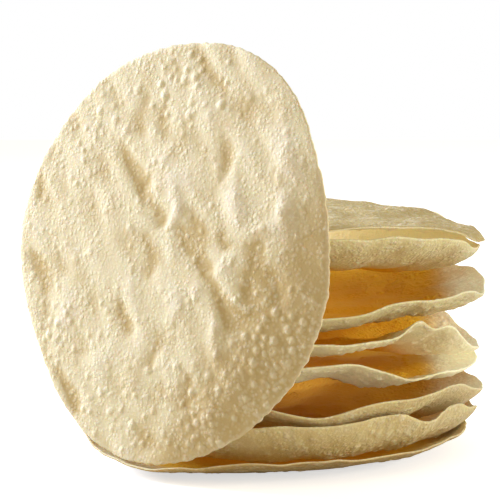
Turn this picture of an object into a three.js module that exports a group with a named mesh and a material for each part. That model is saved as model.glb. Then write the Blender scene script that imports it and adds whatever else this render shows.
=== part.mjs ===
// A stack of eight fried papads with a ninth one leaning on its front, in millimetres.
// +Z is up and the stack is seen from the front along +Y. The origin lies on the table,
// close to the axis of the stack. Every papad is a thin wavy sheet of its own.
import * as THREE from 'three';

const SHEET_THICKNESS = 1.2;
const STACK_RINGS = 9; // rings of facets between the middle and the rim of a stacked papad
const LEANING_RINGS = 20;
const RIGHT_SIDE_POWER = 6; // the higher, the narrower the part of the rim that rightReach moves

// Low waves that run over the face of every stacked papad. Their shifts, in radians, and their
// turn, in degrees, are what they move on by from one papad to the next.
const CROSS_WAVE = { height: 0.5, length: 41, breadth: 57, shift: [1, 2] };
const LONG_WAVE = { height: 0.3, length: 31, shift: 0.7 };
const WAVE_TURN = 67;

// The stacked papads from the table upwards. The floor of a sheet lies at height and its rim
// stands rise above that, with a wall that is steeper the higher steepness is. Folds are
// [direction in degrees, half width in degrees, lift of the rim] and fade towards the middle
// by foldFade. Lobes are [count, size, direction in degrees] of the waves in the outline, and
// rightReach is how much further out the rim runs on the right, along +X.
const STACKED_PAPADS = [
  {
    centre: [-12, -7], radius: 86, height: 0.6, rise: 9, steepness: 3, foldFade: 3,
    flatShare: 0.3,
    lobes: [[2, 1.5, 50], [3, 0.8, 0]], rightReach: 8,
    folds: [[-130, 22, -4], [-85, 22, 1.5], [-5, 22, 2.2], [100, 25, 3], [190, 22, 5]],
  },
  {
    centre: [-6, -4], radius: 86, height: 4.3, rise: 19.9, steepness: 6, foldFade: 6,
    lobes: [[2, 1, 60], [3, 0.8, 30]], rightReach: 8,
    folds: [
      [-85, 20, 2], [-54, 12, 4], [-40, 8, -3], [-28, 12, 2.5],
      [5, 16, -6], [70, 26, 3.6], [165, 28, 9],
    ],
  },
  {
    centre: [-2, -3], radius: 86, height: 15.3, rise: 15.6, steepness: 5, foldFade: 1.5,
    lobes: [[2, 1, 130], [3, 1, 70]], rightReach: 6.5,
    folds: [
      [-98, 12, 3], [-80, 10, -2.5], [-62, 13, 4], [-35, 14, 7],
      [50, 24, 7], [110, 25, -2], [168, 28, 3],
    ],
  },
  {
    centre: [-6, -3], radius: 86, height: 38, rise: 8, steepness: 5, foldFade: 1.6,
    lobes: [[2, 1, 10], [3, 1, 100]], rightReach: 5.5,
    folds: [
      [-90, 14, 4], [-68, 12, 5.5], [-48, 13, -3.5], [-18, 18, -4],
      [50, 22, -7.5], [115, 25, 5], [172, 28, -9],
    ],
  },
  {
    centre: [-3, -1], radius: 86.5, height: 51, rise: 9, steepness: 5, foldFade: 1.3,
    lobes: [[2, 1, 80], [3, 0.9, 15]], rightReach: 5.5,
    folds: [
      [-64, 12, 1], [-47, 6, 7.5], [-33, 8, 4.5], [-12, 16, -9],
      [10, 16, -10], [60, 22, 7], [115, 26, -6], [178, 26, 10],
    ],
  },
  {
    centre: [1, -1], radius: 86.5, height: 62.5, rise: 11, steepness: 5, foldFade: 1.5,
    lobes: [[2, 1, 0], [3, 0.8, 60]], rightReach: 3,
    folds: [
      [-82, 16, -2.5], [-60, 10, 2.5], [-35, 22, 4], [-10, 10, -4], [5, 20, 7],
      [45, 26, 9], [110, 30, 12.2], [175, 18, -3], [-145, 18, 15],
    ],
  },
  {
    centre: [2, -1], radius: 88, height: 87.5, rise: 17, steepness: 5, foldFade: 1.5,
    lobes: [[2, 1.4, 12], [3, 0.8, -10]], rightReach: -4,
    folds: [
      [-105, 16, 1.4], [-75, 25, 0.6], [-12, 22, -8.5], [15, 18, -7.5],
      [36, 14, 2.5], [108, 26, -15], [170, 18, 1.2], [-145, 18, -12],
    ],
  },
  {
    centre: [-2, 0], radius: 86.5, height: 107.8, rise: 1, steepness: 3, foldFade: 2,
    lobes: [[2, 1, 95], [3, 0.8, 20]], rightReach: 7,
    folds: [
      [-80, 22, 1.2], [-15, 18, -7], [15, 18, -7], [50, 22, -1.5], [95, 24, 2.5], [-150, 22, -3],
    ],
  },
];

// The leaning papad stands on the rim of the lowest one and rests on the rims of the top two.
// Its face is laid out flat, with X along its width and Y up its height, and then stood up.
// Bends are [direction in degrees, start, drop at one radius out, power], and bend the sheet
// back from the start outwards; swells are [from, to, half width, lift], each a ridge or
// a hollow along a line on the face.
const LEANING_PAPAD = {
  centre: [-54.6, -72.8, 99],
  turn: 40, // degrees that the face looks away from the front, towards the left
  lean: 6, // degrees that it leans back
  radius: 88.3,
  lobes: [[2, 3.7, 61.7], [3, 1.4, 44.2], [4, 1.2, -19.6], [5, 0.7, -27.4], [6, 0.5, -2]],
  bends: [[-28, 40, 8, 1.5], [90, 0, 2, 2], [-90, 0, 2, 2]],
  swells: [
    [[-26, 43], [-13, 27], 5, -0.6],
    [[-13, 27], [-5, 12], 4.5, -0.55],
    [[7, 11], [25, -4], 5, -1],
    [[-13, 6], [-7, -8], 4, -0.6],
    [[28, -11], [45, -27], 4.5, -1.1],
    [[50, 4], [48, -10], 4, -0.8],
    [[58, -6], [64, -15], 4.5, -0.9],
    [[32, 42], [29, 33], 3.5, -0.45],
    [[15, 29], [22, 24], 3.5, -0.4],
    [[-17, 65], [-19, 52], 3.5, -0.4],
    [[-4, 61], [-7, 48], 5, -0.45],
    [[28, 71], [38, 63], 6, -0.5],
    [[33, 9], [37, 4], 3.5, -0.7],
    [[-21, -25], [-16, -34], 4, -0.55],
    [[-3, -40], [-5, -49], 4.5, -0.65],
    [[18, -53], [16, -62], 4, -0.55],
    [[-4, -82], [1, -85], 5, -0.5],
    [[-60, -56], [-48, -71], 4, -0.6],
    [[-73, -10], [-68, -40], 5, -0.4],
    [[-73, 41], [-78, 20], 3.5, -0.4],
    [[5, 32], [9, 20], 4, 0.7],
    [[9, 20], [3, 12], 4, 0.6],
    [[3, 12], [6, -2], 4, 0.6],
    [[37, -2], [19, -17], 4, 0.8],
    [[60, 58], [67, 23], 6, 0.7],
    [[66, 20], [70, -15], 6, 0.6],
    [[46, 10], [66, 15], 4, 0.6],
    [[37, 42], [40, 19], 4.5, 0.6],
    [[10, -15], [7, -29], 4.5, 0.5],
    [[29, -16], [33, -30], 4, 0.6],
    [[33, -30], [32, -42], 4, 0.6],
    [[-17, -17], [-12, -41], 5, 0.5],
    [[-39, -54], [-27, -46], 6, 0.5],
    [[49, -42], [27, -71], 7, 0.9],
    [[-13, 47], [6, 27], 5, 0.5],
    [[-61, -40], [-55, -20], 5, 0.4],
  ],
};

const FRIED_CREAM = [0xe3d3ae, 0xdfcfa9, 0xe5d6b3, 0xe1d0a8, 0xe4d4b0];
const DRY_FINISH = { roughness: 0.72, metalness: 0 };

const radians = THREE.MathUtils.degToRad;

// The distance from the middle to the rim in one direction, in radians.
function rimRadius(papad, angle) {
  let reach = papad.radius;
  for (const [count, size, direction] of papad.lobes) {
    reach += size * Math.cos(count * (angle - radians(direction)));
  }
  const right = Math.max(0, Math.cos(angle)) ** RIGHT_SIDE_POWER;
  return reach + (papad.rightReach ?? 0) * right;
}

// How much of a fold is felt in one direction, from 0 to 1.
function foldShare(angle, direction, halfWidth) {
  const turn = angle - radians(direction);
  const nearest = Math.atan2(Math.sin(turn), Math.cos(turn));
  return Math.exp(-((nearest / radians(halfWidth)) ** 2));
}

// The low waves on the face of the papad that lies at one place in the stack.
function faceWaves(x, y, place) {
  const turn = radians(WAVE_TURN * place);
  const along = x * Math.cos(turn) + y * Math.sin(turn);
  const across = y * Math.cos(turn) - x * Math.sin(turn);
  const cross = Math.sin((2 * Math.PI * along) / CROSS_WAVE.length + CROSS_WAVE.shift[0] * place)
    * Math.cos((2 * Math.PI * across) / CROSS_WAVE.breadth + CROSS_WAVE.shift[1] * place);
  const long = Math.sin((2 * Math.PI * across) / LONG_WAVE.length + LONG_WAVE.shift * place);
  return CROSS_WAVE.height * cross + LONG_WAVE.height * long;
}

// The middle of the sheet's thickness: share runs from 0 in the middle to 1 at the rim.
function stackedHeight(papad, place, share, angle) {
  const flat = papad.flatShare ?? 0;
  const rising = Math.max(0, (share - flat) / (1 - flat));
  let height = papad.height + papad.rise * rising ** papad.steepness;
  for (const [direction, halfWidth, lift] of papad.folds) {
    height += lift * foldShare(angle, direction, halfWidth) * rising ** papad.foldFade;
  }
  const reach = share * rimRadius(papad, angle);
  const waves = faceWaves(reach * Math.cos(angle), reach * Math.sin(angle), place);
  return height + waves * (flat > 0 ? rising ** 2 : 1);
}

// The leaning sheet's height over its own plane.
function leaningHeight(papad, x, y) {
  let height = 0;
  for (const [direction, start, drop, power] of papad.bends) {
    const out = x * Math.cos(radians(direction)) + y * Math.sin(radians(direction));
    height -= drop * (Math.max(0, out - start) / (papad.radius - start)) ** power;
  }
  for (const [[fromX, fromY], [toX, toY], halfWidth, lift] of papad.swells) {
    const lengthSquared = (toX - fromX) ** 2 + (toY - fromY) ** 2;
    const run = ((x - fromX) * (toX - fromX) + (y - fromY) * (toY - fromY)) / lengthSquared;
    const held = THREE.MathUtils.clamp(run, 0, 1);
    const away = Math.hypot(x - fromX - held * (toX - fromX), y - fromY - held * (toY - fromY));
    height += lift * Math.exp(-((away / halfWidth) ** 2));
  }
  return height;
}

// A disc of rings with six more points in each ring than in the one inside it.
function ringedDisc(rings) {
  const points = [{ share: 0, angle: 0 }];
  const triangles = [];
  const index = (ring, step) => (ring === 0 ? 0 : 1 + 3 * ring * (ring - 1) + (step % (6 * ring)));
  for (let ring = 1; ring <= rings; ring += 1) {
    for (let step = 0; step < 6 * ring; step += 1) {
      points.push({ share: ring / rings, angle: (Math.PI * step) / (3 * ring) });
    }
    for (let sector = 0; sector < 6; sector += 1) {
      for (let step = 0; step < ring; step += 1) {
        const outer = sector * ring + step;
        const inner = sector * (ring - 1) + step;
        triangles.push([index(ring, outer), index(ring, outer + 1), index(ring - 1, inner)]);
        if (step < ring - 1) {
          triangles.push([index(ring - 1, inner), index(ring, outer + 1), index(ring - 1, inner + 1)]);
        }
      }
    }
  }
  const rimStart = index(rings, 0);
  return { points, triangles, rimStart, rimCount: 6 * rings };
}

// A closed sheet: the same triangles above and below, joined by a band round the rim.
function sheetGeometry(papad, rings, heightAt) {
  const { points, triangles, rimStart, rimCount } = ringedDisc(rings);
  const positions = [];
  for (const side of [0.5, -0.5]) {
    for (const { share, angle } of points) {
      const reach = share * rimRadius(papad, angle);
      const x = reach * Math.cos(angle);
      const y = reach * Math.sin(angle);
      positions.push(x, y, heightAt(share, angle, x, y) + side * SHEET_THICKNESS);
    }
  }
  const below = points.length;
  const faces = [];
  for (const [a, b, c] of triangles) {
    faces.push(a, b, c, below + a, below + c, below + b);
  }
  for (let step = 0; step < rimCount; step += 1) {
    const here = rimStart + step;
    const next = rimStart + ((step + 1) % rimCount);
    faces.push(here, below + here, below + next, here, below + next, next);
  }
  const geometry = new THREE.BufferGeometry();
  geometry.setAttribute('position', new THREE.Float32BufferAttribute(positions, 3));
  geometry.setIndex(faces);
  geometry.computeVertexNormals();
  return geometry;
}

function friedMaterial(place) {
  return new THREE.MeshStandardMaterial({
    color: FRIED_CREAM[place % FRIED_CREAM.length],
    ...DRY_FINISH,
  });
}

function stackedPapad(papad, place) {
  const heightAt = (share, angle) => stackedHeight(papad, place, share, angle);
  const mesh = new THREE.Mesh(sheetGeometry(papad, STACK_RINGS, heightAt), friedMaterial(place));
  mesh.name = `papad_${place}`;
  mesh.position.set(papad.centre[0], papad.centre[1], 0);
  return mesh;
}

function leaningPapad(papad) {
  const heightAt = (share, angle, x, y) => leaningHeight(papad, x, y);
  const mesh = new THREE.Mesh(sheetGeometry(papad, LEANING_RINGS, heightAt), friedMaterial(0));
  mesh.name = 'papad_leaning';
  mesh.rotation.x = radians(90 - papad.lean);
  const stand = new THREE.Group();
  stand.position.set(...papad.centre);
  stand.rotation.z = radians(-papad.turn);
  stand.add(mesh);
  return stand;
}

const papadStack = new THREE.Group();
papadStack.name = 'papad_stack';
STACKED_PAPADS.forEach((papad, index) => papadStack.add(stackedPapad(papad, index + 1)));
papadStack.add(leaningPapad(LEANING_PAPAD));

export default papadStack;
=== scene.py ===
import math
from collections import namedtuple

import bpy
import numpy as np
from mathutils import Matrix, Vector
from mathutils.kdtree import KDTree


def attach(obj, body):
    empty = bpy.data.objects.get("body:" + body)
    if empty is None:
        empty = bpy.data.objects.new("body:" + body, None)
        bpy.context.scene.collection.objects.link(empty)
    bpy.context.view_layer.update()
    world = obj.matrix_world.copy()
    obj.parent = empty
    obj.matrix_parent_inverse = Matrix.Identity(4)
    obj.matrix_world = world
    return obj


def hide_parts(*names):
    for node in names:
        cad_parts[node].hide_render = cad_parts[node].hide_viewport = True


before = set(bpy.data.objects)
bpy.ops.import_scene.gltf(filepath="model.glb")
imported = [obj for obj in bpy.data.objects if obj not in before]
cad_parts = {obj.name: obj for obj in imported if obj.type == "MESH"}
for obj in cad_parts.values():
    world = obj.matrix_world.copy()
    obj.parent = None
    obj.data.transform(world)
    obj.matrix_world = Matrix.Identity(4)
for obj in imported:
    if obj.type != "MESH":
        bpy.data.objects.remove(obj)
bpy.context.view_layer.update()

# A loose stack of eight fried papads with a ninth one leaning on its front left. Every papad is
# a thin wavy sheet with blisters on both sides. Lengths are in millimetres up to the moment
# a sheet's points are written, and directions are in degrees from +X towards +Y.
MM = 0.001

# ------------------------------------------------------------------ camera, lights and floor
VIEW_TARGET = (-18, 0, 92)
VIEW_DISTANCE = 900
VIEW_HEIGHT_ANGLE = 6
VIEW_LENS = 139.3
VIEW_SENSOR = 36
VIEW_START = 10  # nothing nearer to the camera than this is drawn

WHITE = (1, 1, 1, 1)
AIR_COLOUR = (1.0, 0.90, 0.68, 1)
AIR_STRENGTH = 0.53
# The soft lights: name, place and size in metres, power in watts and colour.
WINDOWS = (
    ("window_left", (-1.20, 0.50, 0.62), 0.6, 31, (0.88, 1.0, 1.26)),
    ("window_right", (1.05, -0.50, 0.34), 0.4, 7, (0.97, 1.0, 0.97)),
)

FLOOR_WIDTH = 6000
FLOOR_DROP = 0.2  # keeps the floor clear of the lowest papad's underside
BACKDROP_WHITE = (0.93, 0.93, 0.93, 1)
BACKDROP_ROUGHNESS = 0.8
BACKDROP_SHINE = 0.62  # makes the floor that the camera sees as white as the backdrop
FLOOR_BOUNCE = (0.66, 0.60, 0.48, 1)  # the floor's colour in the light it sends up to the papads


def add_camera():
    rise = math.radians(VIEW_HEIGHT_ANGLE)
    target = Vector(VIEW_TARGET) * MM
    away = Vector((0, -math.cos(rise), math.sin(rise))) * VIEW_DISTANCE * MM
    bpy.ops.object.camera_add(location=target + away, rotation=(math.radians(90) - rise, 0, 0))
    camera = bpy.context.object
    camera.data.lens = VIEW_LENS
    camera.data.sensor_width = VIEW_SENSOR
    camera.data.clip_start = VIEW_START * MM
    bpy.context.scene.camera = camera


def add_soft_light(name, place, size, power, colour):
    """A square soft light that faces the middle of the stack."""
    bpy.ops.object.light_add(type="AREA", location=place)
    light = bpy.context.object
    light.name = name
    towards = Vector(VIEW_TARGET) * MM - Vector(place)
    light.rotation_euler = towards.to_track_quat("-Z", "Y").to_euler()
    light.data.size = size
    light.data.energy = power
    light.data.color = colour


def light_the_studio():
    """The windows, and air that lights the papads warmly but is white to the camera."""
    scene = bpy.context.scene
    scene.view_settings.view_transform = "Standard"
    scene.world = bpy.data.worlds.new("studio_air")
    scene.world.use_nodes = True
    tree = scene.world.node_tree
    air = tree.nodes["Background"]
    air.inputs["Color"].default_value = AIR_COLOUR
    air.inputs["Strength"].default_value = AIR_STRENGTH
    sweep = tree.nodes.new("ShaderNodeBackground")
    sweep.inputs["Color"].default_value = WHITE
    seen = tree.nodes.new("ShaderNodeLightPath")
    both = tree.nodes.new("ShaderNodeMixShader")
    tree.links.new(seen.outputs["Is Camera Ray"], both.inputs["Fac"])
    tree.links.new(air.outputs["Background"], both.inputs[1])
    tree.links.new(sweep.outputs["Background"], both.inputs[2])
    tree.links.new(both.outputs["Shader"], tree.nodes["World Output"].inputs["Surface"])
    for window in WINDOWS:
        add_soft_light(*window)


def add_floor():
    bpy.ops.mesh.primitive_plane_add(size=FLOOR_WIDTH * MM, location=(0, 0, -FLOOR_DROP * MM))
    floor = bpy.context.object
    floor.name = "pale_floor"
    bpy.ops.object.transform_apply(location=True, rotation=True, scale=True)
    pale = Finish("pale_floor")
    seen = pale.add("ShaderNodeLightPath", {}, {}, "Is Camera Ray")
    bright = pale.add("ShaderNodeBsdfPrincipled", {}, {
        "Base Color": BACKDROP_WHITE, "Roughness": BACKDROP_ROUGHNESS,
        "Emission Color": WHITE, "Emission Strength": BACKDROP_SHINE})
    dim = pale.add("ShaderNodeBsdfDiffuse", {}, {"Color": FLOOR_BOUNCE})
    pale.show(pale.add("ShaderNodeMixShader", {}, {0: seen, 1: dim, 2: bright}))
    floor.data.materials.append(pale.material)


# ------------------------------------------------------------------ the papads' sizes
SHEET_THICKNESS = 1.2
RIM_THICKNESS = 0.7
RIM_TAPER = 2.2  # the sheet thins to its crisp edge over this distance
CROSS_WAVE = {"height": 0.5, "length": 41, "breadth": 57, "shift": (1, 2)}
LONG_WAVE = {"height": 0.3, "length": 31, "shift": 0.7}
WAVE_TURN = 67  # each papad's waves are turned this far from those of the papad below
RIGHT_SIDE_POWER = 6  # the higher it is, the narrower the right side of a rim
RIGHT_BULGE = 4  # how strongly a right wall bulges out below its rim, which stands it up
TOP_LIP = 4  # how far the very end of the top sheet turns down on the right

# Powers of a point's share of the way out to the rim: the higher, the closer to the rim.
RAGGED_POWER = 12
RIM_RIPPLE_POWER = 8
FACE_RIPPLE_POWER = 6  # where the ripples of the face die out
BULGE_POWERS = (4, 16)  # where a bulge starts and where it goes back
LIP_POWER = 30

# Layers of small unevenness, each (height, length of a ripple).
RAGGED_RIM = ((0.08, 6), (0.25, 20))
FACE_RIPPLES = ((0.35, 22),)
RIM_RIPPLES = ((0.15, 16),)
TINT_RIPPLES = ((0.2, 14),)  # for the colour only
LEANING_RAGGED_RIM = ((0.15, 5),)
LEANING_DRIFT = ((1.1, 22),)  # moves the swells sideways, so that none runs straight
LEANING_FOLDS = ((0.2, 13),)
RIPPLE_COUNT = 14
RIPPLE_LENGTHS = (0.7, 1.5)  # of the shortest and the longest ripple in a layer, as shares

# As in the solids: the floor of a sheet lies at height and its rim stands rise above that, with
# a wall that is steeper the higher steepness is. Folds are (direction, half width, lift of the
# rim) and fade towards the middle by fold_fade. Lobes are (count, size, direction) of the waves
# in the outline, and right_reach is how much further the rim runs out along +X. In the scene
# alone: bubbly spots are (x, y, spread, tries) of a crowd of large blisters, and bright_end and
# wall_light are how much painted light, as paler colour and an emission, a sheet's right end
# and its whole underside get, from 0 to 1.
STACKED_PAPADS = (
    {
        "centre": (-12, -7), "radius": 86, "height": 0.6, "rise": 9, "steepness": 3,
        "fold_fade": 3, "flat_share": 0.3,
        "lobes": ((2, 1.5, 50), (3, 0.8, 0)), "right_reach": 8,
        "folds": ((-130, 22, -4), (-85, 22, 1.5), (-5, 22, 2.2), (100, 25, 3), (190, 22, 5)),
    },
    {
        "centre": (-6, -4), "radius": 86, "height": 4.3, "rise": 19.9, "steepness": 6,
        "fold_fade": 6, "bright_end": 0.3,
        "bubbly": ((68, -46, 10, 140), (50, -64, 8, 60)),
        "lobes": ((2, 1, 60), (3, 0.8, 30)), "right_reach": 8,
        "folds": (
            (-85, 20, 2), (-54, 12, 4), (-40, 8, -3), (-28, 12, 2.5),
            (5, 16, -6), (70, 26, 3.6), (165, 28, 9),
        ),
    },
    {
        "centre": (-2, -3), "radius": 86, "height": 15.3, "rise": 15.6, "steepness": 5,
        "fold_fade": 1.5, "bright_end": 0.5,
        "lobes": ((2, 1, 130), (3, 1, 70)), "right_reach": 6.5,
        "folds": (
            (-98, 12, 3), (-80, 10, -2.5), (-62, 13, 4), (-35, 14, 7),
            (50, 24, 7), (110, 25, -2), (168, 28, 3),
        ),
    },
    {
        "centre": (-6, -3), "radius": 86, "height": 38, "rise": 8, "steepness": 5,
        "fold_fade": 1.6, "bright_end": 1, "wall_light": 0.35,
        "bubbly": ((62, -52, 14, 120), (74, 32, 10, 120)),
        "lobes": ((2, 1, 10), (3, 1, 100)), "right_reach": 5.5,
        "folds": (
            (-90, 14, 4), (-68, 12, 5.5), (-48, 13, -3.5), (-18, 18, -4),
            (50, 22, -7.5), (115, 25, 5), (172, 28, -9),
        ),
    },
    {
        "centre": (-3, -1), "radius": 86.5, "height": 51, "rise": 9, "steepness": 5,
        "fold_fade": 1.3, "bright_end": 1, "wall_light": 0.35,
        "bubbly": ((40, -74, 14, 110), (76, -28, 10, 80), (74, 32, 10, 120)),
        "lobes": ((2, 1, 80), (3, 0.9, 15)), "right_reach": 5.5,
        "folds": (
            (-64, 12, 1), (-47, 6, 7.5), (-33, 8, 4.5), (-12, 16, -9),
            (10, 16, -10), (60, 22, 7), (115, 26, -6), (178, 26, 10),
        ),
    },
    {
        "centre": (1, -1), "radius": 86.5, "height": 62.5, "rise": 11, "steepness": 5,
        "fold_fade": 1.5, "bright_end": 0.8,
        "bubbly": ((66, -50, 14, 130), (82, -10, 9, 100), (75, 34, 10, 120)),
        "lobes": ((2, 1, 0), (3, 0.8, 60)), "right_reach": 3,
        "folds": (
            (-82, 16, -2.5), (-60, 10, 2.5), (-35, 22, 4), (-10, 10, -4), (5, 20, 7),
            (45, 26, 9), (110, 30, 12.2), (175, 18, -3), (-145, 18, 15),
        ),
    },
    {
        "centre": (2, -1), "radius": 88, "height": 87.5, "rise": 17, "steepness": 5,
        "fold_fade": 1.5, "bright_end": 0.5,
        "lobes": ((2, 1.4, 12), (3, 0.8, -10)), "right_reach": -4,
        "folds": (
            (-105, 16, 1.4), (-75, 25, 0.6), (-12, 22, -8.5), (15, 18, -7.5),
            (36, 14, 2.5), (108, 26, -15), (170, 18, 1.2), (-145, 18, -12),
        ),
    },
    {
        "centre": (-2, 0), "radius": 86.5, "height": 107.8, "rise": 1, "steepness": 3,
        "fold_fade": 2, "wall_light": 1,
        "bubbly": ((40, -60, 18, 30), (76, -15, 10, 40), (60, 30, 18, 30)),
        "lobes": ((2, 1, 95), (3, 0.8, 20)), "right_reach": 7,
        "folds": (
            (-80, 22, 1.2), (-15, 18, -7), (15, 18, -7), (50, 22, -1.5), (95, 24, 2.5),
            (-150, 22, -3),
        ),
    },
)

# The leaning papad's face is laid out flat, with X along its width and Y up its height, and
# then stood up. Bends are (direction, start, drop at one radius out, power), and bend the
# sheet back from the start outwards; swells are (from, to, half width, lift), each a ridge or
# a hollow along a line on the face.
LEANING_PAPAD = {
    "centre": (-54.6, -72.8, 99),
    "turn": 40,
    "lean": 6,
    "radius": 88.3,
    "lobes": ((2, 3.7, 61.7), (3, 1.4, 44.2), (4, 1.2, -19.6), (5, 0.7, -27.4), (6, 0.5, -2)),
    "bends": ((-28, 40, 8, 1.5), (90, 0, 2, 2), (-90, 0, 2, 2)),
    "bubbly": ((60, -45, 9, 90), (66, -30, 8, 80), (48, -44, 10, 40), (-2, 78, 14, 50),
               (20, -70, 12, 40), (-10, -78, 14, 30), (-50, 58, 14, 20), (-62, -38, 14, 24)),
    "swells": (
        ((-26, 43), (-13, 27), 5, -0.6),
        ((-13, 27), (-5, 12), 4.5, -0.55),
        ((7, 11), (25, -4), 5, -1),
        ((-13, 6), (-7, -8), 4, -0.6),
        ((28, -11), (45, -27), 5.5, -1.1),
        ((50, 4), (50, -14), 5, -0.9),
        ((58, -6), (64, -15), 5, -1),
        ((32, 42), (29, 33), 3.5, -0.45),
        ((15, 29), (22, 24), 3.5, -0.4),
        ((-17, 65), (-19, 52), 3.5, -0.4),
        ((-4, 61), (-7, 48), 5, -0.45),
        ((28, 71), (38, 63), 6, -0.5),
        ((33, 9), (37, 4), 3.5, -0.7),
        ((-21, -25), (-16, -34), 4, -0.55),
        ((-3, -40), (-5, -49), 4.5, -0.65),
        ((18, -53), (16, -62), 4, -0.55),
        ((-4, -82), (1, -85), 5, -0.5),
        ((-60, -56), (-48, -71), 4, -0.6),
        ((-73, -10), (-68, -40), 5, -0.4),
        ((-73, 41), (-78, 20), 3.5, -0.4),
        ((5, 32), (9, 20), 4, 0.7),
        ((9, 20), (3, 12), 4, 0.6),
        ((3, 12), (6, -2), 4, 0.6),
        ((37, -2), (19, -17), 4, 0.5),
        ((60, 58), (67, 23), 6, 0.7),
        ((66, 20), (70, -15), 6, 0.6),
        ((46, 10), (66, 15), 4, 0.6),
        ((37, 42), (40, 19), 4.5, 0.6),
        ((10, -15), (7, -29), 4.5, 0.5),
        ((29, -16), (33, -30), 4, 0.6),
        ((33, -30), (32, -42), 4, 0.6),
        ((-17, -17), (-12, -41), 5, 0.5),
        ((-39, -54), (-27, -46), 6, 0.5),
        ((49, -42), (27, -71), 7, 0.9),
        ((-13, 47), (6, 27), 5, 0.5),
        ((-61, -40), (-55, -20), 5, 0.4),
    ),
}


# ------------------------------------------------------------------ form of a sheet
def right_side(angle):
    """How much of the right side of the rim a direction has, from 0 to 1."""
    return np.maximum(0, np.cos(angle)) ** RIGHT_SIDE_POWER


def rim_radius(papad, angle):
    reach = np.full_like(angle, papad["radius"])
    for count, size, direction in papad["lobes"]:
        reach += size * np.cos(count * (angle - math.radians(direction)))
    return reach + papad.get("right_reach", 0) * right_side(angle)


def fold_share(angle, direction, half_width):
    turn = angle - math.radians(direction)
    nearest = np.arctan2(np.sin(turn), np.cos(turn))
    return np.exp(-((nearest / math.radians(half_width)) ** 2))


def along_and_across(x, y, direction):
    """How far each point lies along a direction, and to its left."""
    turn = math.radians(direction)
    return x * math.cos(turn) + y * math.sin(turn), y * math.cos(turn) - x * math.sin(turn)


def face_waves(x, y, place):
    along, across = along_and_across(x, y, WAVE_TURN * place)
    first, second = CROSS_WAVE["shift"]
    cross = np.sin(2 * math.pi * along / CROSS_WAVE["length"] + first * place)
    cross *= np.cos(2 * math.pi * across / CROSS_WAVE["breadth"] + second * place)
    long = np.sin(2 * math.pi * across / LONG_WAVE["length"] + LONG_WAVE["shift"] * place)
    return CROSS_WAVE["height"] * cross + LONG_WAVE["height"] * long


def stacked_height(papad, place, share, angle, x, y):
    """The height of a stacked sheet over each point, where share is how far out that lies."""
    flat = papad.get("flat_share", 0)
    rising = np.maximum(0, (share - flat) / (1 - flat))
    height = papad["height"] + papad["rise"] * rising ** papad["steepness"]
    for direction, half_width, lift in papad["folds"]:
        height += lift * fold_share(angle, direction, half_width) * rising ** papad["fold_fade"]
    return height + face_waves(x, y, place) * (rising ** 2 if flat else 1)


def line_swell(x, y, start, end, half_width):
    """A round-shouldered ridge, 1 high, along a line from start to end."""
    (start_x, start_y), (end_x, end_y) = start, end
    run_x, run_y = end_x - start_x, end_y - start_y
    run = ((x - start_x) * run_x + (y - start_y) * run_y) / (run_x ** 2 + run_y ** 2)
    held = np.clip(run, 0, 1)
    away = np.hypot(x - start_x - held * run_x, y - start_y - held * run_y)
    return np.exp(-((away / half_width) ** 2))


def leaning_bend(papad, x, y):
    height = np.zeros_like(x)
    for direction, start, drop, power in papad["bends"]:
        out, _ = along_and_across(x, y, direction)
        height -= drop * (np.maximum(0, out - start) / (papad["radius"] - start)) ** power
    return height


def uneven(x, y, layers, chance):
    """Layers of ripples, each made of waves of about its length that run all ways."""
    total = np.zeros_like(x)
    for height, length in layers:
        layer = np.zeros_like(x)
        for _ in range(RIPPLE_COUNT):
            turn = chance.uniform(0, 2 * math.pi)
            pace = 2 * math.pi / (length * chance.uniform(*RIPPLE_LENGTHS))
            layer += np.sin(pace * (x * math.cos(turn) + y * math.sin(turn))
                            + chance.uniform(0, 2 * math.pi))
        total += height * layer * math.sqrt(2 / RIPPLE_COUNT)
    return total


# ------------------------------------------------------------------ making a sheet
STACKED_CUTS = (9, 11)  # (9 + 1) * (11 + 1) = 120 rings
LEANING_CUTS = (4, 24)  # (4 + 1) * (24 + 1) = 125 rings
FAN_SIDES = 6
STACKED_SEED = 100
LEANING_SEED = 7

# Blisters: the least radius, how far most radii go past it, and the rise as shares of the radius.
Blisters = namedtuple("Blisters", "least spread rise")
LONE_BLISTERS = Blisters(1.5, 0.35, (0.08, 0.2))
CROWDED_BLISTERS = Blisters(1.6, 0.45, (0.22, 0.36))
LARGEST_BLISTER = 2.7
STACKED_COUNT = 600  # lone blisters on each side
LEANING_COUNT = 500
SCATTER_POWER = 0.42  # even would be 0.5, and less brings more of them out to the rim
SCATTER_REACH = 0.985  # of the way to the rim
CROWD_GAP = 0.85  # of two radii, so that neighbours in a crowd stay round
DOME_POWER = 1.5  # rounds the foot of a blister
BLISTER_CALM = 5  # over this distance from the rim the blisters grow to their height
RIM_BLISTERS = 0.4  # from this share of it

BOWL_GLOW = (3, 24)  # how far in from its rim a bowl starts and ends to turn to its painted glow and shade
WALL_GLOW = (22, 42)  # the same for the underside, whose outer part is the wall
FAR_SIDE = (0, 30)  # from here to there along Y, the glow reaches up to the rim
OPEN_RIGHT = (64, 80)  # from here to there along X, the right ends of the bowls turn pale with painted light
PALE_LOSS = 0.75  # how much of its glow the palest right end loses
# painted shade: the leaning face darkens out past start in this direction, where it bends away
# from the light
LEANING_PAINTED_SHADE = {"direction": -35, "start": 40, "end": 60, "relief": 3}
FOLD_SLANT = -58  # the low folds of the leaning face run down to the right
FOLD_STRETCH = 0.4  # and are this much slower along than across


def steps(value, low, high):
    """0 below low, 1 above high and a smooth step between them."""
    run = np.clip((value - low) / (high - low), 0, 1)
    return run * run * (3 - 2 * run)


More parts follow.
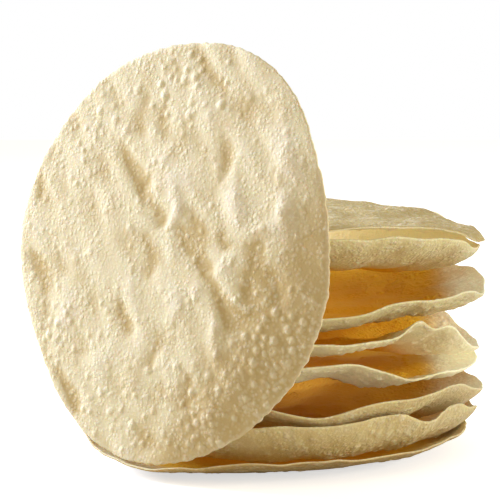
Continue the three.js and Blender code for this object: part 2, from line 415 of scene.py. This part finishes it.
def fan_of_triangles(name, cuts):
    """A flat six-sided fan, cut into even triangles, 1 from its middle to its corners."""
    bpy.ops.object.select_all(action="DESELECT")
    bpy.ops.mesh.primitive_circle_add(vertices=FAN_SIDES, radius=1, fill_type="TRIFAN")
    fan = bpy.context.object
    fan.name = name
    bpy.ops.object.mode_set(mode="EDIT")
    bpy.ops.mesh.select_all(action="SELECT")
    for count in cuts:
        bpy.ops.mesh.subdivide(number_cuts=count)
    bpy.ops.object.mode_set(mode="OBJECT")
    return fan


def read_points(sheet):
    points = np.empty(len(sheet.data.vertices) * 3)
    sheet.data.vertices.foreach_get("co", points)
    return points.reshape(-1, 3)


def write_points(sheet, x, y, z):
    sheet.data.vertices.foreach_set("co", (np.stack((x, y, z), axis=1) * MM).ravel())
    sheet.data.update()


def read_normals(sheet):
    normals = np.empty(len(sheet.data.vertices) * 3)
    sheet.data.vertex_normals.foreach_get("vector", normals)
    return normals.reshape(-1, 3)


def mark(sheet, name, upper, under):
    """Writes a number for each point of both sides, which the papads' finish reads."""
    layer = sheet.data.attributes.new(name, "FLOAT", "POINT")
    layer.data.foreach_set("value", np.concatenate((upper, under)).astype(np.float32))


def round_places(fan):
    """Each point's share of the way to the rim and its direction, as the six-sided fan
    is let out into a round one: a ring's points keep their order and are spread evenly."""
    points = read_points(fan)
    x, y = points[:, 0], points[:, 1]
    sides = [np.abs(x * math.cos(turn) + y * math.sin(turn))
             for turn in np.radians((0, 60, 120))]
    share = np.max(sides, axis=0) / math.cos(math.pi / FAN_SIDES)
    corner = math.radians(90)
    sector_width = 2 * math.pi / FAN_SIDES
    angle = np.arctan2(y, x) - corner
    sector = np.floor(angle / sector_width + 1e-6)  # a corner belongs to the sector it starts
    slant = angle - sector * sector_width
    # along a straight side of the fan, distance grows with the sine rule
    along = np.sin(slant) / (np.sin(slant) + np.sin(sector_width - slant))
    return share, corner + (sector + along) * sector_width


def let_out(sheet, papad, ragged_rim, chance):
    """Lays a fan's points out to the papad's uneven outline. Gives their share of the way out,
    their direction, the place of the rim in that direction and their own place."""
    share, angle = round_places(sheet)
    rim = papad["radius"] * np.cos(angle), papad["radius"] * np.sin(angle)
    ragged = uneven(*rim, ragged_rim, chance)
    reach = share * (rim_radius(papad, angle) + ragged * share ** RAGGED_POWER)
    return share, angle, rim, (reach * np.cos(angle), reach * np.sin(angle))


def blister_heights(x, y, blisters):
    """The height of round blisters (x, y, radius, rise) over each point."""
    tree = KDTree(len(x))
    for index, place in enumerate(zip(x, y)):
        tree.insert((*place, 0), index)
    tree.balance()
    height = np.zeros(len(x))
    for middle_x, middle_y, radius, rise in blisters:
        for _, index, away in tree.find_range((middle_x, middle_y, 0), radius):
            dome = rise * (1 - (away / radius) ** 2) ** DOME_POWER
            if dome > height[index]:
                height[index] = dome
    return height


def blister_radius(kind, chance):
    return min(LARGEST_BLISTER, kind.least + chance.exponential(kind.spread))


def scatter_blisters(papad, count, chance):
    """Blisters all over a sheet, and a crowd of larger ones at each of its bubbly spots."""
    lone = []
    for _ in range(count):
        angle = chance.uniform(-math.pi, math.pi)
        out = papad["radius"] * chance.uniform(0, 1) ** SCATTER_POWER * SCATTER_REACH
        radius = blister_radius(LONE_BLISTERS, chance)
        rise = radius * chance.uniform(*LONE_BLISTERS.rise)
        lone.append((out * math.cos(angle), out * math.sin(angle), radius, rise))
    crowd = []
    for spot_x, spot_y, spread, tries in papad.get("bubbly", ()):
        for _ in range(tries):
            radius = blister_radius(CROWDED_BLISTERS, chance)
            x, y = chance.normal(spot_x, spread), chance.normal(spot_y, spread)
            rise = radius * chance.uniform(*CROWDED_BLISTERS.rise)
            if all(math.hypot(x - other_x, y - other_y) > CROWD_GAP * (radius + other)
                   for other_x, other_y, other, _ in crowd):
                crowd.append((x, y, radius, rise))
    return lone + crowd


def thicken(sheet):
    bpy.ops.object.select_all(action="DESELECT")
    bpy.context.view_layer.objects.active = sheet
    sheet.select_set(True)
    bpy.ops.object.modifier_add(type="SOLIDIFY")
    wall = sheet.modifiers[-1]
    wall.thickness = SHEET_THICKNESS * MM
    wall.offset = 0
    bpy.ops.object.modifier_apply(modifier=wall.name)


def fry(sheet, papad, share, x, y, chance, blister_count, lowest=-math.inf):
    """Gives a laid-out sheet its thickness, thin rim and blisters, and keeps it above lowest."""
    count = len(share)
    depth = (1 - share) * papad["radius"]
    thicken(sheet)
    points, normals = read_points(sheet) / MM, read_normals(sheet)
    full = steps(depth, 0, RIM_TAPER)
    thinner = 1 - RIM_THICKNESS / SHEET_THICKNESS
    middle = (points[:count] + points[count:]) / 2
    half = (points[:count] - middle) * (1 - thinner * (1 - full))[:, None]
    upper = blister_heights(x, y, scatter_blisters(papad, blister_count, chance))
    under = blister_heights(x, y, scatter_blisters(papad, blister_count, chance))
    calm = RIM_BLISTERS + (1 - RIM_BLISTERS) * steps(depth, 0, BLISTER_CALM)
    points[:count] = middle + half + normals[:count] * (upper * calm)[:, None]
    points[count:] = middle - half + normals[count:] * (under * calm)[:, None]
    write_points(sheet, points[:, 0], points[:, 1], np.maximum(points[:, 2], lowest))
    mark(sheet, "blister", upper, under)
    mark(sheet, "edge", 1 - full, 1 - full)
    mark(sheet, "underside", np.zeros(count), np.ones(count))
    bpy.ops.object.shade_smooth()


def stacked_papad(flat_fan, papad, place):
    """One sheet of the stack, where place counts them from the lowest, which is 1."""
    chance = np.random.default_rng(STACKED_SEED + place)
    sheet = flat_fan.copy()
    sheet.data = flat_fan.data.copy()
    sheet.name = f"fried_papad_{place}"
    bpy.context.collection.objects.link(sheet)
    share, angle, rim, (x, y) = let_out(sheet, papad, RAGGED_RIM, chance)
    z = stacked_height(papad, place, share, angle, x, y)
    top = place == len(STACKED_PAPADS)
    if top:
        z -= TOP_LIP * right_side(angle) * share ** LIP_POWER
    else:
        begin, end = BULGE_POWERS
        x += RIGHT_BULGE * right_side(angle) * (share ** begin - share ** end)
    if not papad.get("flat_share"):
        z += uneven(x, y, FACE_RIPPLES, chance) * (1 - share ** FACE_RIPPLE_POWER)
    z += uneven(*rim, RIM_RIPPLES, chance) * share ** RIM_RIPPLE_POWER
    centre_x, centre_y = papad["centre"]
    write_points(sheet, x + centre_x, y + centre_y, z)
    fry(sheet, papad, share, x, y, chance, STACKED_COUNT, lowest=0)
    depth = (1 - share) * papad["radius"]
    # painted light at the bowls' right ends, and on whole undersides by wall_light
    lit = steps(x, *OPEN_RIGHT) * papad.get("bright_end", 0)
    # painted glow and shade deep in the bowl and up the far side, less at a lit right end
    glow = np.maximum(steps(depth, *BOWL_GLOW), steps(y, *FAR_SIDE)) * (1 - PALE_LOSS * lit)
    nothing = np.zeros_like(share)
    mark(sheet, "gap", nothing if top else glow, steps(depth, *WALL_GLOW))
    mark(sheet, "lit", lit, np.maximum(lit, papad.get("wall_light", 0)))
    mark(sheet, "painted_shade", nothing, nothing)
    relief = uneven(x, y, TINT_RIPPLES, chance)
    mark(sheet, "relief", relief, -relief)
    return sheet


def leaning_papad(papad):
    chance = np.random.default_rng(LEANING_SEED)
    sheet = fan_of_triangles("fried_papad_leaning", LEANING_CUTS)
    share, _, _, (x, y) = let_out(sheet, papad, LEANING_RAGGED_RIM, chance)
    drift_x = x + uneven(x, y, LEANING_DRIFT, chance)
    drift_y = y + uneven(x, y, LEANING_DRIFT, chance)
    relief = np.zeros_like(x)
    for start, end, half_width, lift in papad["swells"]:
        relief += lift * line_swell(drift_x, drift_y, start, end, half_width)
    along, across = along_and_across(x, y, FOLD_SLANT)
    relief += uneven(along * FOLD_STRETCH, across, LEANING_FOLDS, chance)
    write_points(sheet, x, y, leaning_bend(papad, x, y) + relief)
    fry(sheet, papad, share, x, y, chance, LEANING_COUNT)
    mark(sheet, "relief", relief, -relief)
    nothing = np.zeros_like(share)
    mark(sheet, "gap", nothing, nothing)
    mark(sheet, "lit", nothing, nothing)
    # painted shade on the lower right of the face, which bends away from the light
    out, _ = along_and_across(x, y, LEANING_PAINTED_SHADE["direction"])
    painted_shade = steps(out + LEANING_PAINTED_SHADE["relief"] * relief, LEANING_PAINTED_SHADE["start"],
                  LEANING_PAINTED_SHADE["end"])
    mark(sheet, "painted_shade", painted_shade, painted_shade)
    sheet.rotation_euler = (math.radians(90 - papad["lean"]), 0, 0)
    bpy.ops.object.transform_apply(location=True, rotation=True, scale=True)
    sheet.rotation_euler = (0, 0, math.radians(-papad["turn"]))
    sheet.location = Vector(papad["centre"]) * MM
    bpy.ops.object.transform_apply(location=True, rotation=True, scale=True)
    return sheet


# ------------------------------------------------------------------ finishes
def joined(operation, swapped=False):
    """The method of Value that stands for one operator or its reflected form."""
    def combine(self, other):
        terms = (other, self) if swapped else (self, other)
        return self.finish.add("ShaderNodeMath", {"operation": operation},
                               {0: terms[0], 1: terms[1]})
    return combine


class Value:
    """A socket of a finish that takes part in sums like a number."""

    def __init__(self, finish, socket):
        self.finish = finish
        self.socket = socket

    __add__ = joined("ADD")
    __radd__ = joined("ADD", swapped=True)
    __sub__ = joined("SUBTRACT")
    __rsub__ = joined("SUBTRACT", swapped=True)
    __mul__ = joined("MULTIPLY")
    __rmul__ = joined("MULTIPLY", swapped=True)
    __pow__ = joined("POWER")
    __rpow__ = joined("POWER", swapped=True)

    def at_least(self, floor):
        return self.finish.add("ShaderNodeMath", {"operation": "MAXIMUM"}, {0: self, 1: floor})

    def between(self, low, high):
        """0 at low, 1 at high and a smooth step between them."""
        return self.finish.add(
            "ShaderNodeMapRange", {"interpolation_type": "SMOOTHSTEP"},
            {"Value": self, "From Min": low, "From Max": high})


class Finish:
    """A material whose nodes are written as sums."""

    def __init__(self, name):
        self.material = bpy.data.materials.new(name)
        self.material.use_nodes = True
        self.tree = self.material.node_tree
        self.tree.nodes.clear()

    def add(self, kind, settings, sockets, output=0):
        node = self.tree.nodes.new(kind)
        for setting, value in settings.items():
            setattr(node, setting, value)
        for name, value in sockets.items():
            socket = node.inputs[name]
            if isinstance(value, Value):
                self.tree.links.new(value.socket, socket)
            else:
                socket.default_value = value
        return Value(self, node.outputs[output])

    def marked(self, name):
        return self.add("ShaderNodeAttribute", {"attribute_name": name}, {}, "Fac")

    def noise(self, place, kind):
        return self.add("ShaderNodeTexNoise", {},
                        {"Vector": place, "Scale": kind.per_metre, "Detail": kind.detail})

    def bubbles(self, place, kind):
        """Round-topped bubbles, 1 high."""
        away = self.add("ShaderNodeTexVoronoi", {}, {"Vector": place, "Scale": kind.per_metre})
        return (1 - (away * (1 / kind.radius)) ** 2).at_least(0)

    def mix(self, share, first, second):
        return self.add("ShaderNodeMix", {"data_type": "RGBA"}, {0: share, 6: first, 7: second}, 2)

    def tint(self, colour, value, kind, mottling, shade):
        """Mixes a shade into a colour where the value is high enough."""
        share = value.between(kind.start, kind.full) * (kind.strength * mottling)
        return self.mix(share, colour, shade)

    def show(self, shader):
        out = self.tree.nodes.new("ShaderNodeOutputMaterial")
        self.tree.links.new(shader.socket, out.inputs["Surface"])


# A side of a sheet: cream is its colour out at the rim, which on some sides is painted shade,
# and glow the painted glow and shade that take over deep in a gap; rim_light and deep_light
# are emissions there that stand in for light through the thin wafer: painted light.
Side = namedtuple("Side", "cream glow rim_light deep_light")

DARK = (0, 0, 0, 1)
FRIED_CREAM = (0.86, 0.77, 0.53, 1)
# painted shade: the undersides' walls are yellower than FRIED_CREAM, and the low ones darker
PAINTED_SHADE_WALL_CREAM = (0.86, 0.78, 0.46, 1)
PAINTED_SHADE_LOW_WALL_CREAM = (0.80, 0.66, 0.35, 1)
# painted shade: the top sheet's upper side is darker than the other sheets
PAINTED_SHADE_TOP_CREAM = (0.46, 0.36, 0.17, 1)
# painted shade: the lowest sheet's underside, down against the floor, is brown
PAINTED_SHADE_BROWN = (0.55, 0.38, 0.17, 1)
# pale tone, and painted light: crests, bubble tops and lit parts turn to this
PALE_TONE_AND_PAINTED_LIGHT = (0.90, 0.82, 0.63, 1)
# toast and painted shade: hollows, the mottle and the leaning face's shaded lower right turn to
# this
TOAST_AND_PAINTED_SHADE = (0.60, 0.44, 0.20, 1)
# painted light: the thin bright line along a sheet's edge
PAINTED_LIGHT_EDGE = (0.92, 0.83, 0.62, 1)
# painted glow and shade: the colours the gaps between the sheets take, warm with the light between
# them and darker deep in
YELLOW_GLOW = (0.82, 0.72, 0.48, 1)
AMBER_GLOW = (0.74, 0.43, 0.03, 1)
BROWN_GLOW = (0.74, 0.42, 0.035, 1)
DEEP_GLOW = (0.62, 0.30, 0.02, 1)
# painted light: emission colours that stand in for light
YELLOW_LIGHT = (0.135, 0.12, 0.062, 1)
AMBER_LIGHT = (0.055, 0.026, 0.001, 1)
BROWN_LIGHT = (0.06, 0.03, 0.002, 1)
CREAM_LIGHT = (0.22, 0.26, 0.21, 1)
WALL_LIGHT = (0.22, 0.21, 0.14, 1)

OPEN_SIDE = Side(FRIED_CREAM, FRIED_CREAM, DARK, DARK)
TOP_SIDE = Side(PAINTED_SHADE_TOP_CREAM, PAINTED_SHADE_TOP_CREAM, DARK, DARK)
YELLOW_SIDE = Side(YELLOW_GLOW, YELLOW_GLOW, YELLOW_LIGHT, YELLOW_LIGHT)
AMBER_SIDE = Side(FRIED_CREAM, AMBER_GLOW, CREAM_LIGHT, AMBER_LIGHT)
BROWN_SIDE = Side(FRIED_CREAM, BROWN_GLOW, CREAM_LIGHT, BROWN_LIGHT)
DEEP_SIDE = Side(FRIED_CREAM, DEEP_GLOW, CREAM_LIGHT, DARK)
AMBER_WALL = Side(PAINTED_SHADE_WALL_CREAM, AMBER_GLOW, DARK, AMBER_LIGHT)
BROWN_WALL = Side(PAINTED_SHADE_LOW_WALL_CREAM, BROWN_GLOW, DARK, BROWN_LIGHT)
# painted light: a wall made paler and glowing where wall_light reaches
PAINTED_LIGHT_WALL = Side(PAINTED_SHADE_WALL_CREAM, AMBER_GLOW, WALL_LIGHT, AMBER_LIGHT)
# the lowest sheet's underside, painted brown as painted shade
FLOOR_WALL = Side(PAINTED_SHADE_BROWN, BROWN_GLOW, DARK, DARK)

# From the lowest papad up: the upper side of each, which is inside its bowl, and the underside,
# whose outer part is its wall.
UPPER_SIDES = (BROWN_SIDE, BROWN_SIDE, DEEP_SIDE, BROWN_SIDE, AMBER_SIDE, AMBER_SIDE,
               YELLOW_SIDE, TOP_SIDE)
UNDERSIDES = (FLOOR_WALL, BROWN_WALL, BROWN_WALL, PAINTED_LIGHT_WALL, PAINTED_LIGHT_WALL, AMBER_WALL,
              AMBER_WALL, YELLOW_SIDE)

# A crust: the height of its finest bubbles, how much light it scatters inside, how much painted
# light pales its edge and how strong its uneven colour and its painted highlights and shade are.
Crust = namedtuple("Crust", "height scatter edge mottling")
STACKED_CRUST = Crust(0.8, 0.4, 0, 1)
TOP_CRUST = Crust(0.8, 0.4, 0, 0.7)
LEANING_CRUST = Crust(0.55, 0.25, 0.4, 1)

# The finest bubbles, which only the finish has: their radius is a share of their spacing, and
# their height a share of the crust's.
Bubbles = namedtuple("Bubbles", "per_metre radius height")
ROUND_BUBBLES = Bubbles(270, 0.42, 0.4)
SMALL_BUBBLES = Bubbles(520, 0.5, 0.28)
TINY_BUBBLES = Bubbles(850, 0.5, 0.07)
GRAIN_HEIGHT = 0.04
# painted highlights: how much paler the tops of the round and small bubbles are
ROUND_BUBBLE_HIGHLIGHT = 0.4
SMALL_BUBBLE_HIGHLIGHT = 0.35
TINY_GAP_TOAST_AND_SHADE = 0.22  # between the tiny bubbles, toast and painted shade

Noise = namedtuple("Noise", "per_metre detail")
MOTTLE = Noise(60, 3)
GRAIN = Noise(700, 2)
PATCHES = Noise(80, 2)
ROUND_PATCHES = (0.45, 0.6)  # the patches in which the round bubbles come up
SMALL_PATCHES = (0.3, 0.6)  # and those in which the small ones reach their full height
SMALL_LEAST = 0.5  # their height outside of these

# A tint: the height in mm or the noise at which it starts and is full, and its strength then.
Tint = namedtuple("Tint", "start full strength")
# crests paler and hollows darker: a random tone on the stacked sheets, and painted light and shade
# with toast on the leaning one's swells
CREST_TONE_AND_PAINTED_LIGHT = Tint(0.05, 0.9, 1)
HOLLOW_TOAST_AND_PAINTED_SHADE = Tint(0, 0.7, 0.9)
MOTTLE_TINT = Tint(0.5, 0.72, 0.4)
# painted highlight on the tops of the blisters
BLISTER_HIGHLIGHT = Tint(0.1, 0.6, 0.4)
PAINTED_SHADE_STRENGTH = 0.85
LIT_PALENESS = 0.6  # painted light: the paleness of a lit part between its small bubbles
LIT_BUBBLE_TINT = 0.3  # and how much less they have of it
LIT_LOSS = 0.3  # how much less painted light the upper side gives between its small bubbles
LIT_BUBBLE_GAIN = 0.8  # and how much more on them

WAFER_ROUGHNESS = 0.65
WAFER_SPECULAR = 0.12
SCATTER_COLOURS = (1.0, 0.6, 0.2)
SCATTER_DEPTH = 5  # for a crust that scatters all light


def fried_colour(fried, crust, upper, under, bubbles, mottle):
    """The wafer's colour, with painted light and shade in it: crests are pale, a random tone on
    the stacked sheets and painted light on the leaning one's swells; hollows are toasted and
    painted with shade; bubble tops are pale as painted highlights and the gaps between the tiny
    ones toasted and painted with shade; lit parts are pale with painted light; deep gaps take
    their painted glow and shade; and the edge is paled by painted light.
    """
    round_ones, small, tiny = bubbles
    relief, turned, mottling = fried.marked("relief"), fried.marked("underside"), crust.mottling
    colour = fried.mix(turned, upper.cream, under.cream)
    colour = fried.tint(colour, relief, CREST_TONE_AND_PAINTED_LIGHT, mottling, PALE_TONE_AND_PAINTED_LIGHT)
    colour = fried.tint(colour, 0 - relief, HOLLOW_TOAST_AND_PAINTED_SHADE, mottling, TOAST_AND_PAINTED_SHADE)
    colour = fried.tint(colour, mottle, MOTTLE_TINT, mottling, TOAST_AND_PAINTED_SHADE)
    colour = fried.mix(fried.marked("painted_shade") * PAINTED_SHADE_STRENGTH, colour, TOAST_AND_PAINTED_SHADE)
    colour = fried.mix((1 - tiny) * (TINY_GAP_TOAST_AND_SHADE * mottling), colour, TOAST_AND_PAINTED_SHADE)
    colour = fried.mix(small * (SMALL_BUBBLE_HIGHLIGHT * mottling), colour, PALE_TONE_AND_PAINTED_LIGHT)
    colour = fried.mix(round_ones * (ROUND_BUBBLE_HIGHLIGHT * mottling), colour, PALE_TONE_AND_PAINTED_LIGHT)
    colour = fried.tint(colour, fried.marked("blister"), BLISTER_HIGHLIGHT, mottling, PALE_TONE_AND_PAINTED_LIGHT)
    # painted light: a lit part turns pale
    lit = fried.marked("lit") * (LIT_PALENESS - LIT_BUBBLE_TINT * small)
    colour = fried.mix(lit, colour, PALE_TONE_AND_PAINTED_LIGHT)
    # painted glow and shade deep in the gaps
    glow = fried.mix(turned, upper.glow, under.glow)
    colour = fried.mix(fried.marked("gap"), colour, glow)
    return fried.mix(fried.marked("edge") * crust.edge, colour, PAINTED_LIGHT_EDGE)


def painted_light_through(fried, upper, under, small):
    """Painted light: an emission that stands in for light, where a sheet is marked lit and deep
    in the gaps.
    """
    turned = fried.marked("underside")
    at_rim = fried.mix(turned, upper.rim_light, under.rim_light)
    at_depth = fried.mix(turned, upper.deep_light, under.deep_light)
    spotty = 1 - (1 - turned) * (LIT_LOSS - LIT_BUBBLE_GAIN * small)
    lit = fried.mix(fried.marked("lit") * spotty, DARK, at_rim)
    return fried.mix(fried.marked("gap"), lit, at_depth)


def fried_finish(name, upper, under, crust):
    """The blistered wafer, with painted glow and shade deep in the gaps of the stack and painted
    light given as an emission.
    """
    fried = Finish(name)
    place = fried.add("ShaderNodeTexCoord", {}, {}, "Object")
    patches = fried.noise(place, PATCHES)
    round_ones = fried.bubbles(place, ROUND_BUBBLES) * patches.between(*ROUND_PATCHES)
    small_height = patches.between(*SMALL_PATCHES) * (1 - SMALL_LEAST) + SMALL_LEAST
    small = fried.bubbles(place, SMALL_BUBBLES) * small_height
    tiny = fried.bubbles(place, TINY_BUBBLES)
    height = (round_ones * ROUND_BUBBLES.height + small * SMALL_BUBBLES.height
              + tiny * TINY_BUBBLES.height + fried.noise(place, GRAIN) * GRAIN_HEIGHT)
    mottle = fried.noise(place, MOTTLE)
    fried.show(fried.add("ShaderNodeBsdfPrincipled", {}, {
        "Base Color": fried_colour(fried, crust, upper, under, (round_ones, small, tiny), mottle),
        "Roughness": WAFER_ROUGHNESS,
        "Specular IOR Level": WAFER_SPECULAR,
        "Normal": fried.add("ShaderNodeBump", {}, {
            "Height": height, "Distance": crust.height * MM}),
        # painted light: an emission at lit parts and deep in the gaps
        "Emission Color": painted_light_through(fried, upper, under, small),
        "Emission Strength": 1.0,
        "Subsurface Weight": crust.scatter,
        "Subsurface Radius": SCATTER_COLOURS,
        "Subsurface Scale": SCATTER_DEPTH * MM * crust.scatter,
    }))
    return fried.material


def lay_and_dress():
    flat_fan = fan_of_triangles("flat_fan", STACKED_CUTS)
    layers = zip(STACKED_PAPADS, UPPER_SIDES, UNDERSIDES)
    for place, (papad, upper, under) in enumerate(layers, 1):
        node = f"papad_{place}"
        crust = TOP_CRUST if place == len(STACKED_PAPADS) else STACKED_CRUST
        sheet = stacked_papad(flat_fan, papad, place)
        sheet.data.materials.append(fried_finish(f"fried_{place}", upper, under, crust))
        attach(sheet, "root")
        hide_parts(node)
    bpy.data.objects.remove(flat_fan)
    sheet = leaning_papad(LEANING_PAPAD)
    finish = fried_finish("fried_leaning", OPEN_SIDE, OPEN_SIDE, LEANING_CRUST)
    sheet.data.materials.append(finish)
    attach(sheet, "root")
    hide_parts("papad_leaning")


add_camera()
light_the_studio()
add_floor()
lay_and_dress()
